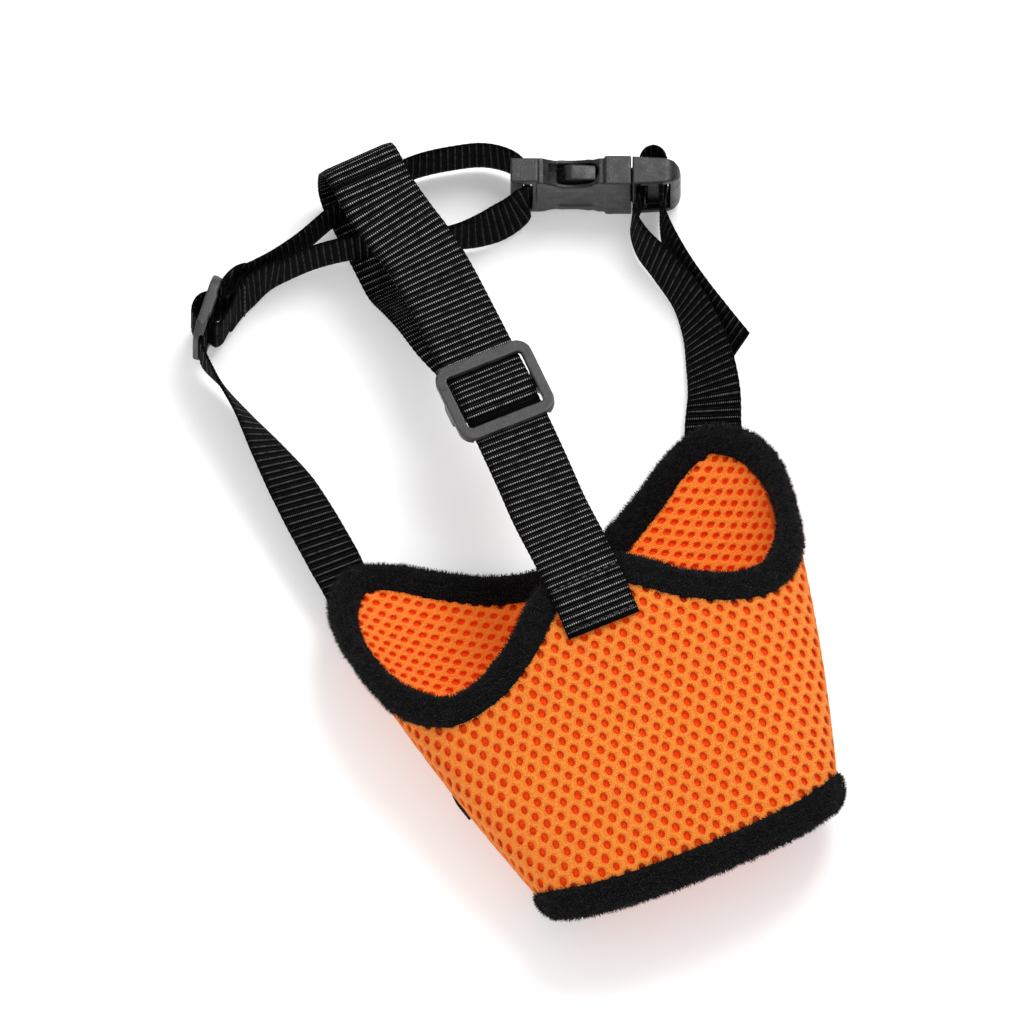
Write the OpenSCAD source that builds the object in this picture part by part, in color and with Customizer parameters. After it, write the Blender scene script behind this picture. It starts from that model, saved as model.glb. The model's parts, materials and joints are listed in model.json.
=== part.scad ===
// Soft mesh dog muzzle with an adjustable head strap, an adjustable neck strap and a side-release buckle.
// Millimetres. +Z is up, the muzzle lies on its chin, the nose opening faces -Y and the neck end +Y.

/* [Muzzle body] */
// Thickness of the spacer mesh
mesh_t = 3.5; // [3:0.25:4]
// Width across the nose opening, at the middle of the mesh
nose_w = 99; // [96:1:103]
// Height of the nose opening, at the middle of the mesh
nose_h = 28; // [24:1:30]
// How far the panels crown between the two bindings
crown = 2; // [1:0.25:2.25]

/* [Plush bindings] */
// Width of the tape on each side of the mesh
tape_w = 11; // [10:0.5:12]
// Thickness over the mesh and both layers of tape
tape_t = 7.5; // [7:0.25:8]

/* [Webbing] */
// Width of the head strap
head_w = 25; // [24:0.5:25.5]
// Width of the neck straps
neck_w = 20; // [19:0.5:20.5]
// Thickness of the webbing
web_t = 1.3; // [1.1:0.1:1.4]

/* [Fittings] */
// Width of the bars of both tri-glides
bar_w = 4.25; // [4:0.25:4.75]
// Thickness of a tri-glide's frame
glide_t = 3.2; // [3:0.1:3.4]
// Length of the buckle's socket
socket_l = 39; // [38:0.5:40]
// Height of the buckle, across the webbing
buckle_h = 26; // [25.5:0.5:27]
// Thickness of the buckle
buckle_t = 10; // [9.5:0.25:10.5]

/* [Hidden] */

// The muzzle is drawn about its own middle plane, then moved to put the origin under the whole's middle.
centre = [9.2, 13.1, 0];
gap = 0.15;
thread_d = 0.6;

// Face opening, from the top of the nose bridge round the right cheek to the chin: the middle of the tape.
FACE = [
  [0, -19, 47], [14, -23, 47], [29, -34, 45], [44, -40.6, 42], [56.6, -40.8, 38], [68, -31.3, 33],
  [73.6, -16, 28], [74.8, -1, 23], [71.4, 12, 17], [62.6, 20.5, 11], [51, 18.5, 7], [37, 10.5, 4.8],
  [19, 1.5, 4.3], [0, -2, 4.3]
];
// The left side lies a little narrower, and its cheek's upper edge sags towards the nose.
left_squash = 0.98;
left_sag = 0.1;

// ---------- numbers and curves ----------
function unit(v) = v / norm(v);
function mix(a, b, t) = a + (b - a) * t;
function sgn_pow(v, p) = sign(v) * pow(abs(v), p);
// A smooth curve from b to c that allows for how far apart the four points are.
function knot(a, b, c, d, t) =
  let(
    s0 = sqrt(norm(b - a)) + 0.001,
    s1 = sqrt(norm(c - b)) + 0.001,
    s2 = sqrt(norm(d - c)) + 0.001,
    leave = c - b + s1 * ((b - a) / s0 - (c - a) / (s0 + s1)),
    arrive = c - b + s1 * ((d - c) / s2 - (d - b) / (s1 + s2)))
  b + t * leave + t * t * (3 * (c - b) - 2 * leave - arrive) + t * t * t * (leave + arrive - 2 * (c - b));
// Point on a closed smooth curve through pts, with t counted in points.
function round_at(pts, t) =
  let(n = len(pts), i = floor(t), f = t - i)
  knot(pts[(i + n - 1) % n], pts[i % n], pts[(i + 1) % n], pts[(i + 2) % n], f);
// An open smooth curve through pts, with the given number of steps between two points.
function smooth(pts, steps) =
  let(n = len(pts))
  concat(
    [for (i = [0:n - 2], k = [0:steps - 1])
      knot(
        i == 0 ? 2 * pts[0] - pts[1] : pts[i - 1], pts[i], pts[i + 1],
        i == n - 2 ? 2 * pts[n - 1] - pts[n - 2] : pts[i + 2], k / steps)],
    [pts[n - 1]]);

// ---------- the muzzle's surface ----------
function left_of(p) = [-left_squash * p[0], p[1] + left_sag * min(0, p[1] - FACE[0][1]), p[2]];
face_loop = concat(FACE, [for (i = [len(FACE) - 2:-1:1]) left_of(FACE[i])]);
turn = len(face_loop);
nose_mid_z = nose_h / 2 + tape_t / 2 + 0.4;
nose_mid_y = -109.5;
nose_lean = 11.5;
// The muzzle lies turned a little from the line of its head strap.
body_yaw = -2;
yaw_pivot = [0, -40, 0];
function turned(p) =
  let(d = p - yaw_pivot)
  yaw_pivot
  + [d[0] * cos(body_yaw) - d[1] * sin(body_yaw), d[0] * sin(body_yaw) + d[1] * cos(body_yaw), d[2]];
// u runs once round the muzzle, 0 at the nose bridge and 0.25 at the right cheek; v runs from nose to face.
function face_point(u) = round_at(face_loop, (u < 0 ? u + 1 : u) * turn);
function nose_point(u) =
  let(a = 360 * u)
  [
    nose_w / 2 * sgn_pow(sin(a), 0.8),
    nose_mid_y - nose_lean * cos(a),
    nose_mid_z + nose_h / 2 * sgn_pow(cos(a), 0.7)
  ];
function skin_mid(u, v) =
  turned(mix(nose_point(u), face_point(u), v) + 4 * v * (1 - v) * crown * [sin(360 * u), 0, cos(360 * u)]);
step = 0.002;
// Points out of the muzzle.
function skin_normal(u, v) =
  unit(cross(skin_mid(u + step, v) - skin_mid(u - step, v), skin_mid(u, v + step) - skin_mid(u, v - step)));
// Point at height h above the middle of the mesh.
function skin(u, v, h) = skin_mid(u, v) + h * skin_normal(u, v);
// v at a distance d in from an edge, 0 for the nose and 1 for the face.
function v_in(u, edge, d) =
  let(far = norm(face_point(u) - nose_point(u)))
  edge == 0 ? d / far : 1 - d / far;

// Closed sheet between two heights over a stretch of the surface, held inset from both edges.
module skin_sheet(u0, u1, nose_inset, face_inset, low, high, nu, nv) {
  rows = nu + 1;
  cols = nv + 1;
  function at(i, j, h) =
    let(u = mix(u0, u1, i / nu), v = mix(v_in(u, 0, nose_inset), v_in(u, 1, face_inset), j / nv))
    skin(u, v, h);
  points = concat(
    [for (i = [0:nu], j = [0:nv]) at(i, j, low)],
    [for (i = [0:nu], j = [0:nv]) at(i, j, high)]);
  function id(i, j, top) = (top ? rows * cols : 0) + i * cols + j;
  faces = concat(
    [for (i = [0:nu - 1], j = [0:nv - 1]) each quad(id(i, j, true), id(i, j + 1, true),
      id(i + 1, j + 1, true), id(i + 1, j, true))],
    [for (i = [0:nu - 1], j = [0:nv - 1]) each quad(id(i, j, false), id(i + 1, j, false),
      id(i + 1, j + 1, false), id(i, j + 1, false))],
    [for (i = [0:nu - 1], j = [0, nv]) each side_wall(id(i, j, false), id(i + 1, j, false),
      id(i + 1, j, true), id(i, j, true), j == 0)],
    [for (j = [0:nv - 1], i = [0, nu]) each side_wall(id(i, j, false), id(i, j + 1, false),
      id(i, j + 1, true), id(i, j, true), i == nu)]);
  polyhedron(points, faces);
}
function quad(a, b, c, d) = [[a, b, c], [a, c, d]];
function side_wall(a, b, c, d, flip) = flip ? quad(d, c, b, a) : quad(a, b, c, d);

// Closed tube from n sections of m points each.
module closed_tube(points, n, m) {
  faces = [for (i = [0:n - 1], j = [0:m - 1])
    each quad(i * m + j, i * m + (j + 1) % m, ((i + 1) % n) * m + (j + 1) % m, ((i + 1) % n) * m + j)];
  polyhedron(points, faces);
}

// Flat webbing along a route of [place, direction of the width].
module webbing(route, w, steps) {
  places = smooth([for (r = route) r[0]], steps);
  widths = smooth([for (r = route) unit(r[1])], steps);
  n = len(places);
  points = [for (i = [0:n - 1])
    let(
      along = unit(places[min(i + 1, n - 1)] - places[max(i - 1, 0)]),
      up = unit(cross(along, widths[i])),
      across = unit(cross(up, along)))
    each [for (c = [[-1, -1], [1, -1], [1, 1], [-1, 1]])
      places[i] + c[0] * w / 2 * across + c[1] * web_t / 2 * up]];
  faces = concat(
    [[3, 2, 1], [3, 1, 0]],
    [for (i = [0:n - 2], j = [0:3])
      each quad(4 * i + j, 4 * i + (j + 1) % 4, 4 * i + 4 + (j + 1) % 4, 4 * i + 4 + j)],
    [[4 * n - 4, 4 * n - 3, 4 * n - 2], [4 * n - 4, 4 * n - 2, 4 * n - 1]]);
  polyhedron(points, [for (f = faces) [f[2], f[1], f[0]]]);
}

// ---------- mesh panels, seams and tag ----------
seam_u = 0.28;
tape_bite = 2.5;
// The mesh runs into the tape's groove and stops short of its bottom.
mesh_past = tape_bite - gap;
split = 0.0012;

module mesh_panel(u0, u1, nu) {
  color("#ff7a1c")
    skin_sheet(u0 + split, u1 - split, -mesh_past, -mesh_past, -mesh_t / 2, mesh_t / 2, nu, 12);
}
module top_panel() { mesh_panel(-seam_u, seam_u, 44); }
module chin_panel() { mesh_panel(seam_u, 1 - seam_u, 32); }
seam_half = 0.006;
seam_tape_t = 0.6;
// The face binding crosses the seams aslant.
seam_clear = tape_w / 2 + 7;
module seam_tape(u) {
  inside = -mesh_t / 2 - gap;
  color("#e8641a")
    skin_sheet(u - seam_half, u + seam_half, tape_w / 2 + 1, seam_clear, inside - seam_tape_t, inside, 4, 12);
}
module left_seam() { seam_tape(1 - seam_u); }
module right_seam() { seam_tape(seam_u); }

tag_from = 38;
tag_to = 48;
module side_tag() {
  outside = mesh_t / 2 + gap;
  u = 1 - seam_u;
  far = norm(face_point(u) - nose_point(u));
  color("#161616") skin_sheet(u - 0.002, u + 0.016, tag_from, far - tag_to, outside, outside + 1, 3, 3);
}

// ---------- plush bindings ----------
groove = mesh_t / 2 + 0.25;
edge_r = 1;
round_r = tape_t / 2;
nose_end = tape_w / 2 - round_r;
// Folded tape: across is measured out past the mesh's edge, up is the mesh's normal.
groove_steps = [tape_bite, 0, -tape_w / 4, -tape_w / 2];
upper_half = concat(
  [for (x = groove_steps) [x, groove]],
  [[-tape_w / 2, tape_t / 2 - edge_r], [-tape_w / 2 + edge_r, tape_t / 2]],
  [[(nose_end - tape_w / 2) / 2, tape_t / 2]],
  [for (a = [90:-30:30]) [nose_end + round_r * cos(a), round_r * sin(a)]]);
binding_section = concat(
  upper_half,
  [[nose_end + round_r, 0]],
  [for (i = [len(upper_half) - 1:-1:0]) [upper_half[i][0], -upper_half[i][1]]]);

// Slopes of the surface with u and with v.
function round_slope(u, v) = (skin_mid(u + step, v) - skin_mid(u - step, v)) / (2 * step);
function along_slope(u, v) = (skin_mid(u, v + step) - skin_mid(u, v - step)) / (2 * step);
// Moves [u, v] to the place on the surface nearest to a goal.
function settle(at, goal) =
  let(
    a = round_slope(at[0], at[1]),
    b = along_slope(at[0], at[1]),
    d = goal - skin_mid(at[0], at[1]),
    area = (a * a) * (b * b) - (a * b) * (a * b))
  at + [(d * a) * (b * b) - (d * b) * (a * b), (d * b) * (a * a) - (d * a) * (a * b)] / area;
// [u, v] at a distance square off an edge, outwards.
function beside(u, edge, distance) =
  let(
    a = unit(round_slope(u, edge)),
    b = (edge == 1 ? 1 : -1) * along_slope(u, edge),
    goal = skin_mid(u, edge) + distance * unit(b - (a * b) * a))
  settle(settle(settle([u, edge], goal), goal), goal);
module binding(edge, rings) {
  points = [for (i = edge == 1 ? [0:rings - 1] : [rings - 1:-1:0], p = binding_section)
    let(at = beside(i / rings, edge, p[0])) skin(at[0], at[1], p[1])];
  color("#141414") closed_tube(points, rings, len(binding_section));
}
module face_binding() { binding(1, 104); }
module nose_binding() { binding(0, 64); }

// ---------- places of the fittings ----------
up = [0, 0, 1];
head_x = [1, 0, 0];
// The head strap's front run is straight from the binding to the neck strap.
head_dir = [0.045, 1, -0.15];
function head_line(y) = [2, 0, 48.5] + y * head_dir;
head_slider_y = 52;
// The strap itself bows a little to one side between the binding and the loop's top.
head_bow = 1.1;
function head_run(y) = head_line(y) - [head_bow * pow(y / head_slider_y - 1, 2), 0, 0];
head_yaw = -atan(head_dir[0]);
head_pitch = atan(head_dir[2]);
module at_head_slider() {
  translate(head_line(head_slider_y)) rotate([0, 0, head_yaw]) rotate([head_pitch, 0, 0]) children();
}
function from_head_slider(p) =
  let(along = unit(head_dir), normal = unit(cross(head_x, along)))
  head_line(head_slider_y) + p[0] * along + p[1] * normal;

// The neck slider stands on edge: along is its local X, the webbing's width its Z and outwards its Y.
neck_slider_at = [-62.4, 124.5, 13.8];
neck_yaw = 47;
module at_neck_slider() { translate(neck_slider_at) rotate([0, 0, neck_yaw]) children(); }
function from_neck_slider(p) =
  neck_slider_at + p[0] * [cos(neck_yaw), sin(neck_yaw), 0] + p[1] * [-sin(neck_yaw), cos(neck_yaw), 0];

// The buckle stands on its edge, its socket's mouth at buckle_at; local X is the way the plug pulls out.
buckle_at = [80, 108.7, buckle_h / 2];
buckle_yaw = -25.5;
module at_buckle() { translate(buckle_at) rotate([0, 0, buckle_yaw]) children(); }
function from_buckle(p) =
  buckle_at + p[0] * [cos(buckle_yaw), sin(buckle_yaw), 0] + p[1] * [-sin(buckle_yaw), cos(buckle_yaw), 0];

// Webbing sewn flat on the outside of the face binding: its middle, and the direction of its width.
sewn_h = tape_t / 2 + gap + web_t / 2;
function root(u, v) = skin(u, v, sewn_h);
function root_across(u) = unit(skin_mid(u - step, 1) - skin_mid(u + step, 1));
left_root_u = 0.655;
right_root_u = 0.345;

// ---------- head strap ----------
// Middles of the tri-glides' middle bars, out from the webbing's own line.
middle_bar_t = 2;
bar_mid = -web_t - gap - web_t / 2 - gap - middle_bar_t / 2;
neck_bar_mid = 0.15;
on_mesh = mesh_t / 2 + web_t / 2 + 2 * gap;
HEAD_FRONT = [
  [skin(0, 0.81, on_mesh), head_x], [skin(0, 0.86, on_mesh + 0.5), head_x],
  [skin(0, 0.905, sewn_h + 0.2), head_x], [skin(0, 1, sewn_h + 0.2), head_x], [[0.9, -9, 50.7], head_x],
  [head_run(5), head_x], [head_run(20), head_x], [head_run(40), head_x], [head_run(60), head_x],
  [head_run(80), head_x], [head_run(100), head_x], [[4.9, 112, 31.8], head_x], [[3.2, 123, 31], head_x],
  [[1.8, 133, 31.4], head_x], [[1.6, 142, 31.9], head_x]
];
// Round a tri-glide's middle bar, in the slider's own along and outwards.
GLIDE_WRAP = [[2.5, bar_mid - 1.9], [-1.2, bar_mid - 2], [-2.9, bar_mid - 1], [-2.9, bar_mid + 0.9],
  [-1.2, bar_mid + 1.75], [2, bar_mid + 1.7]];
// Round the loop's top, down behind the neck strap, along the floor and up round the slider's middle bar.
HEAD_RETURN = concat(
  [for (p = [[1.6, 142.5, 31.9], [1.6, 147.4, 30.2], [1.4, 151.1, 24.5], [1.2, 152.1, 15.5], [1, 150.6, 6.2],
    [1, 146.6, 1.5], [1, 140.5, 0.85], [1, 132, 0.85], [1, 123, 0.85], [1, 115.4, 1], [1, 111.5, 3.4],
    [1.2, 104, 11], [1.5, 93, 20.8], [2, 80, 28.6], from_head_slider([14, -5.7]),
    from_head_slider([8, -5.4])]) [p, head_x]],
  [for (p = GLIDE_WRAP) [from_head_slider(p), head_x]],
  [for (p = [[8, -3.6], [14, -4.1]]) [from_head_slider(p), head_x]]);
module head_strap() { color("#1b1b1b") webbing(HEAD_FRONT, head_w, 4); }
module head_strap_return() { color("#1b1b1b") webbing(HEAD_RETURN, head_w, 4); }

// ---------- neck straps ----------
down = [0, 0, -1];
// The inner run leans at both ends: near the neck slider and by the buckle.
lean_near = [-0.1, -0.2, -1];
lean_far = [0, -0.26, -1];
NECK_OUT = concat(
  [for (v = [0.94, 0.975, 1.02]) [root(left_root_u, v), root_across(left_root_u)]],
  [
    [[-62.2, 36, 9], [0.9, 0, -0.42]], [[-62.8, 48, 9.9], [0.9, 0, -0.44]],
    [[-63.5, 62, 10.4], [0.84, 0, -0.54]], [[-65, 76, 11], [0.66, 0, -0.75]],
    [[-66.8, 90, 11.8], [0.4, 0, -0.9]], [[-69.3, 104, 12.8], [0.2, 0, -0.97]]
  ],
  [for (p = [[-12, -0.35], [-7.8, -0.3], [-6.5, 0.75], [-5, 3], [-3, 5.2], [0, 6.1], [3, 5.2], [5, 3],
    [6.5, 0.75], [7.8, -0.3], [10.4, -0.5], [13.3, -1.5]]) [from_neck_slider(p), down]],
  [for (p = [[-48.4, 134, 12.2], [-43, 134.3, 11.4], [-36, 135, 10.8], [-26, 136.6, 11.4], [-12, 140.5, 12.4],
    [4, 144, 12.5], [20, 144.7, 12], [33, 142, 12], [41.5, 138.9, 12.1], [47.2, 134.4, 12.4],
    [50.1, 129.9, 12.8], from_buckle([-33.4, 2.6]), from_buckle([-33.2, 0.2])]) [p, down]]);
NECK_BACK = concat(
  [[from_buckle([-33.2, -0.2]), down], [from_buckle([-33.4, -3.4]), down], [[45.6, 117.8, 12.8], lean_far],
    [[42, 116.5, 12.2], lean_far], [[36.6, 115.8, 11.8], lean_far], [[29, 116, 11.6], [0, -0.16, -1]]],
  [for (p = [[18, 118, 12], [6, 121.8, 12.4], [-8, 127.2, 12.4], [-22, 130.4, 11.6], [-34, 130.8, 11]])
    [p, down]],
  [[[-40.6, 130.2, 11.6], [-0.04, -0.08, -1]], [[-47.3, 128.4, 12], lean_near],
    [[-53.4, 125.2, 12.8], lean_near]],
  // Round the slider's middle bar and back to the run it's sewn to.
  [for (p = [[3.2, -5.7], [0, -5], [-3.3, -4.4], [-4.9, -2.9], [-4.2, -0.8], [-3, 0.8], [-1.2, 1.95],
    [1.4, 1.95], [3.3, 0.7], [4.5, -1.7], [6.4, -3.9]]) [from_neck_slider(p), down]],
  [[[-52.4, 127.6, 12.8], lean_near], [[-48.1, 129.9, 12], lean_near]]);
RIGHT_OUT = concat(
  [for (v = [0.94, 0.975, 1.02]) [root(right_root_u, v), root_across(right_root_u)]],
  [
    [[73.4, 33, 9.6], [0.84, 0, 0.54]], [[77, 44, 10], [0.74, 0, 0.67]], [[79.4, 56, 10.4], [0.54, 0, 0.84]],
    [[79.6, 68, 10.8], [0.36, 0, 0.93]], [[77.2, 80, 11.2], [0.26, 0, 0.97]],
    [[74.8, 90, 11.7], [0.16, 0, 0.99]], [[75.6, 97.8, 12.2], [0.06, 0, 1]]
  ],
  [for (p = [[2.8, -5.6], [3.8, 0], [2.9, 4.8], [4.3, 8.4], [7.3, 9.7], [10.1, 8.2], [11.3, 4.4], [10.5, 0],
    [9.8, -5.5]]) [from_buckle(p), up]],
  [
    [[83.6, 91, 12], [0.1, 0, 1]], [[82.4, 78, 11.4], [0.24, 0, 0.97]], [[83, 66, 11], [0.34, 0, 0.94]],
    [[84.4, 55, 10.6], [0.42, 0, 0.9]], [[86.6, 43, 10.2], [0.46, 0, 0.88]]
  ]);
module neck_strap() { color("#1b1b1b") webbing(NECK_OUT, neck_w, 4); }
module neck_strap_return() { color("#1b1b1b") webbing(NECK_BACK, neck_w, 4); }
module right_strap() { color("#1b1b1b") webbing(RIGHT_OUT, neck_w, 4); }

// ---------- tri-glides ----------
module rounded(l, w, r) {
  square([l - 2 * r, w], center = true);
  square([l, w - 2 * r], center = true);
  for (x = [-1, 1], y = [-1, 1]) translate([x * (l / 2 - r), y * (w / 2 - r)]) circle(r, $fn = 48);
}
// Local X across the webbing, Y along it, Z out of the webbing's outer face. The webbing runs at Z = 0.
frame_low = web_t / 2 + gap - 1.2;
middle_bar_w = 2.6;
module tri_glide(web_w, length, rail, corner, middle) {
  inner = web_w + 1.3;
  outer = inner + 2 * rail;
  rest_low = web_t / 2 + gap;
  middle_low = middle - middle_bar_t / 2;
  color("#3a3b3c") difference() {
    union() {
      translate([0, 0, frame_low]) linear_extrude(glide_t) rounded(outer, length, corner);
      for (x = [-1, 1])
        translate([x * (inner + rail) / 2, 0, middle_low])
          linear_extrude(frame_low - middle_low + 1) rounded(rail, 8, 1);
      translate([0, 0, middle_low])
        linear_extrude(middle_bar_t) square([inner + 1, middle_bar_w], center = true);
    }
    translate([0, 0, frame_low - 1]) linear_extrude(glide_t + 2) rounded(inner, length - 2 * bar_w, 1.5);
    // The webbing's way under both end bars.
    translate([-inner / 2, -length / 2 - 1, frame_low - 1])
      cube([inner, length + 2, rest_low - frame_low + 1]);
  }
}
module head_slider() { at_head_slider() tri_glide(head_w, 29, 3.4, 5.4, bar_mid); }
module neck_slider() {
  at_neck_slider() rotate([90, 0, 0]) rotate([0, 0, 90]) mirror([0, 0, 1])
    tri_glide(neck_w, 23.5, 3, 6.5, neck_bar_mid);
}

// ---------- side-release buckle ----------
half_h = buckle_h / 2;
wall = 2.1;
// Width of the prongs, and of the socket's inside round them.
prong_w = 5.2;
inside_w = prong_w + 0.9;
block_l = 9;
collar_l = 8.5;
waist_in = 3.8;
waist_mid = -19.5;
window_mid = waist_mid + 1.5;
waist_r = 15;
strap_slot = 2.8;
bar_l = 4.2;
// Plan outline of the buckle, pushed up to a height.
module slab(x0, x1, y, z) { translate([x0, -y / 2, -z / 2]) cube([x1 - x0, y, z]); }
module buckle_socket() {
  color("#2f3031") at_buckle() difference() {
    union() {
      slab(-socket_l, -socket_l + block_l, buckle_t - 1.6, buckle_h);
      slab(-socket_l + block_l - 0.5, -collar_l + 0.5, buckle_t - 1, buckle_h - 1.6);
      slab(-collar_l, 0, buckle_t, buckle_h);
      // Raised rims round both windows.
      for (side = [-1, 1])
        translate([window_mid, 0, side * (half_h - waist_in - 1)])
          linear_extrude(4, center = true) rounded(18, 9.8, 4.8);
    }
    for (side = [-1, 1]) {
      translate([waist_mid, 0, side * (half_h + waist_r - waist_in)])
        rotate([90, 0, 0]) cylinder(h = buckle_t + 2, r = waist_r, center = true, $fn = 96);
      translate([window_mid, 0, side * half_h])
        linear_extrude(waist_in * 3, center = true) rounded(15, 7, 3.4);
    }
    slab(-socket_l + block_l + 1, 1, inside_w, buckle_h - 2 * wall);
    slab(-socket_l + bar_l, -socket_l + bar_l + strap_slot, buckle_t, neck_w + 0.8);
    for (side = [-1, 1])
      translate([-socket_l - 1, side * (buckle_t / 2) - 2.6, -neck_w / 2 - 0.4])
        cube([bar_l + 2, 5.2, neck_w + 0.8]);
  }
}
plug_l = 16;
plug_gap = 0.4;
// The strap's two slots, one on each side of the plug's bar.
plug_slot = 2.6;
plug_slots = [2.6, 9.4];
plug_edge = [[plug_gap, 4.8], [plug_l - 5, 4.2], [plug_l - 2.2, 3.5], [plug_l - 0.6, 2.1], [plug_l, 0.7]];
module buckle_plug() {
  color("#2f3031") at_buckle() {
    difference() {
      intersection() {
        translate([0, 0, -half_h]) linear_extrude(buckle_h)
          polygon(concat(plug_edge,
            [for (i = [len(plug_edge) - 1:-1:0]) [plug_edge[i][0], -plug_edge[i][1]]]));
        rotate([90, 0, 0]) linear_extrude(buckle_t + 2, center = true) {
          translate([plug_gap - 8, -half_h]) square([plug_l - plug_gap + 3, buckle_h]);
          translate([plug_l / 2, 0]) rounded(plug_l, buckle_h, 5);
        }
      }
      for (x = plug_slots)
        translate([x, -buckle_t / 2, -neck_w / 2 - 0.4]) cube([plug_slot, buckle_t, neck_w + 0.8]);
      for (side = [-1, 1])
        translate([1.9, side * 4.5 - 2.7, -neck_w / 2 - 0.4]) cube([10.6, 5.4, neck_w + 0.8]);
    }
    slab(-16, plug_gap + 1.2, 3.6, 5);
    slab(-2, plug_gap + 0.5, 4.4, 18.5);
  }
}
prong_root = -2.2;
prong_tip = -24;
barb_from = -10.9;
// One sprung prong above the guide: a thin leg, and a barb whose sloped top is the button.
module prong(side) {
  color("#2f3031") at_buckle() rotate([90, 0, 0]) linear_extrude(prong_w, center = true)
    polygon([for (p = [[prong_root, 5.8], [prong_root, 8.8], [barb_from, 9.4], [barb_from - 0.5, 10.6],
      [barb_from - 4, 10.95], [barb_from - 8.4, 11.4], [prong_tip + 3, 10.8], [prong_tip + 1, 8.8],
      [prong_tip, 6.8], [prong_tip, 5.6], [barb_from - 4, 5.6], [barb_from + 2, 6.8]]) [p[0], side * p[1]]]);
}
module upper_prong() { prong(1); }
module lower_prong() { prong(-1); }

// ---------- stitches ----------
// One thread, seen on the face of the webbing, between two points.
module thread(a, b) {
  d = b - a;
  translate(a) rotate([0, acos(d[2] / norm(d)), atan2(d[1], d[0])])
    cylinder(h = norm(d), d = thread_d, $fn = 16);
}
stitch = 1.8;
stitch_pitch = 2.6;
on_top = web_t / 2 + thread_d / 2 + 0.06;
// A row of stitches across webbing of width w: where is the row's middle, across its direction.
module stitch_row(where, across, w) {
  count = floor((w - 4) / stitch_pitch);
  for (i = [0:count])
    let(mid = where + (i - count / 2) * stitch_pitch * unit(across), half = stitch / 2 * unit(across))
    thread(mid - half, mid + half);
}
// Place above the webbing's face on a straight part of a route between two of its points.
function over(route, i, t, side) =
  let(
    along = unit(route[i + 1][0] - route[i][0]),
    face = unit(cross(along, route[i][1])))
  mix(route[i][0], route[i + 1][0], t) + side * on_top * face;
module head_strap_stitches() {
  color("#232323") {
    stitch_row(over(HEAD_FRONT, 0, 0.4, -1) + [0, 0, 0.1], head_x, head_w);
    stitch_row(over(HEAD_FRONT, 2, 0.7, -1) + [0, 0, 0.2], head_x, head_w);
  }
}
module head_return_stitches() {
  color("#232323") stitch_row(from_head_slider([11, -5.75 - on_top]), head_x, head_w);
}
module neck_return_stitches() {
  run = len(NECK_BACK) - 15;
  color("#232323") stitch_row(over(NECK_BACK, run, 0.5, 1) + [-0.06, 0.1, 0], lean_near, neck_w);
}
module root_rows(route) {
  color("#232323") for (t = [0.3, 0.9]) stitch_row(over(route, 0, t, 1), route[0][1], neck_w);
}
module left_root_stitches() { root_rows(NECK_OUT); }
module right_root_stitches() { root_rows(RIGHT_OUT); }

translate(-centre) top_panel();
translate(-centre) chin_panel();
translate(-centre) left_seam();
translate(-centre) right_seam();
translate(-centre) face_binding();
translate(-centre) nose_binding();
translate(-centre) side_tag();
translate(-centre) head_strap();
translate(-centre) head_strap_return();
translate(-centre) head_strap_stitches();
translate(-centre) head_return_stitches();
translate(-centre) head_slider();
translate(-centre) neck_strap();
translate(-centre) neck_strap_return();
translate(-centre) neck_return_stitches();
translate(-centre) neck_slider();
translate(-centre) left_root_stitches();
translate(-centre) right_strap();
translate(-centre) right_root_stitches();
translate(-centre) buckle_socket();
translate(-centre) buckle_plug();
translate(-centre) upper_prong();
translate(-centre) lower_prong();
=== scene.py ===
"""Looks for the soft mesh dog muzzle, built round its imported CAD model.

Shapes are worked out in millimetres about the muzzle's own middle plane, as in part.scad, and put in the row
frame by place(). The muzzle lies on its chin: the nose opening faces -Y and the neck strap is at +Y.
"""

import json
import math

import bmesh
import bpy
import numpy as np
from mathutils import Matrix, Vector, noise

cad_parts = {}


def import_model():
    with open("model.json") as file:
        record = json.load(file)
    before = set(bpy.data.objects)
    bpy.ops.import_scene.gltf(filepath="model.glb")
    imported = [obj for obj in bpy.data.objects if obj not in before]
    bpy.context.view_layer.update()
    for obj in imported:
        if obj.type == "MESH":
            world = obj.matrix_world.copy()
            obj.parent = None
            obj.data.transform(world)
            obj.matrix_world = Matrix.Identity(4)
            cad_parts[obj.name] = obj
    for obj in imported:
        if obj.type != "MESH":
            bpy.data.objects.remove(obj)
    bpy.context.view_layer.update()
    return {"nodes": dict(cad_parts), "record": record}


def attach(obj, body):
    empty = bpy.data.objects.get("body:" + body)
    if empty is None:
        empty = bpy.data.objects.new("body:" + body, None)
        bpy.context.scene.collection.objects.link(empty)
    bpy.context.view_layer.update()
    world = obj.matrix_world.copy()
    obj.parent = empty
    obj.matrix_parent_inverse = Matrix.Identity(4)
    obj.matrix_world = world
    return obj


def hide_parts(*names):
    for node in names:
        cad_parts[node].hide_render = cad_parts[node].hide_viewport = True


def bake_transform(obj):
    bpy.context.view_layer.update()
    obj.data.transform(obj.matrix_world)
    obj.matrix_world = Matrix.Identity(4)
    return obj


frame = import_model()
MM = 0.001
CENTRE = np.array([9.2, 13.1, 0.0])  # the row frame's origin, seen from the muzzle's own


# ---------- numbers and curves ----------
def unit(v):
    v = np.asarray(v, float)
    return v / np.linalg.norm(v, axis=-1, keepdims=True)


def place(points):
    """Points in millimetres about the muzzle, as metres in the row frame."""
    return (np.asarray(points, float) - CENTRE) * MM


def spot(point):
    return tuple(place(point))


def root_gap(p, q):
    """The square root of how far apart two points are, and never quite nothing."""
    return np.sqrt(np.linalg.norm(q - p, axis=-1, keepdims=True)) + 0.001


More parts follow.
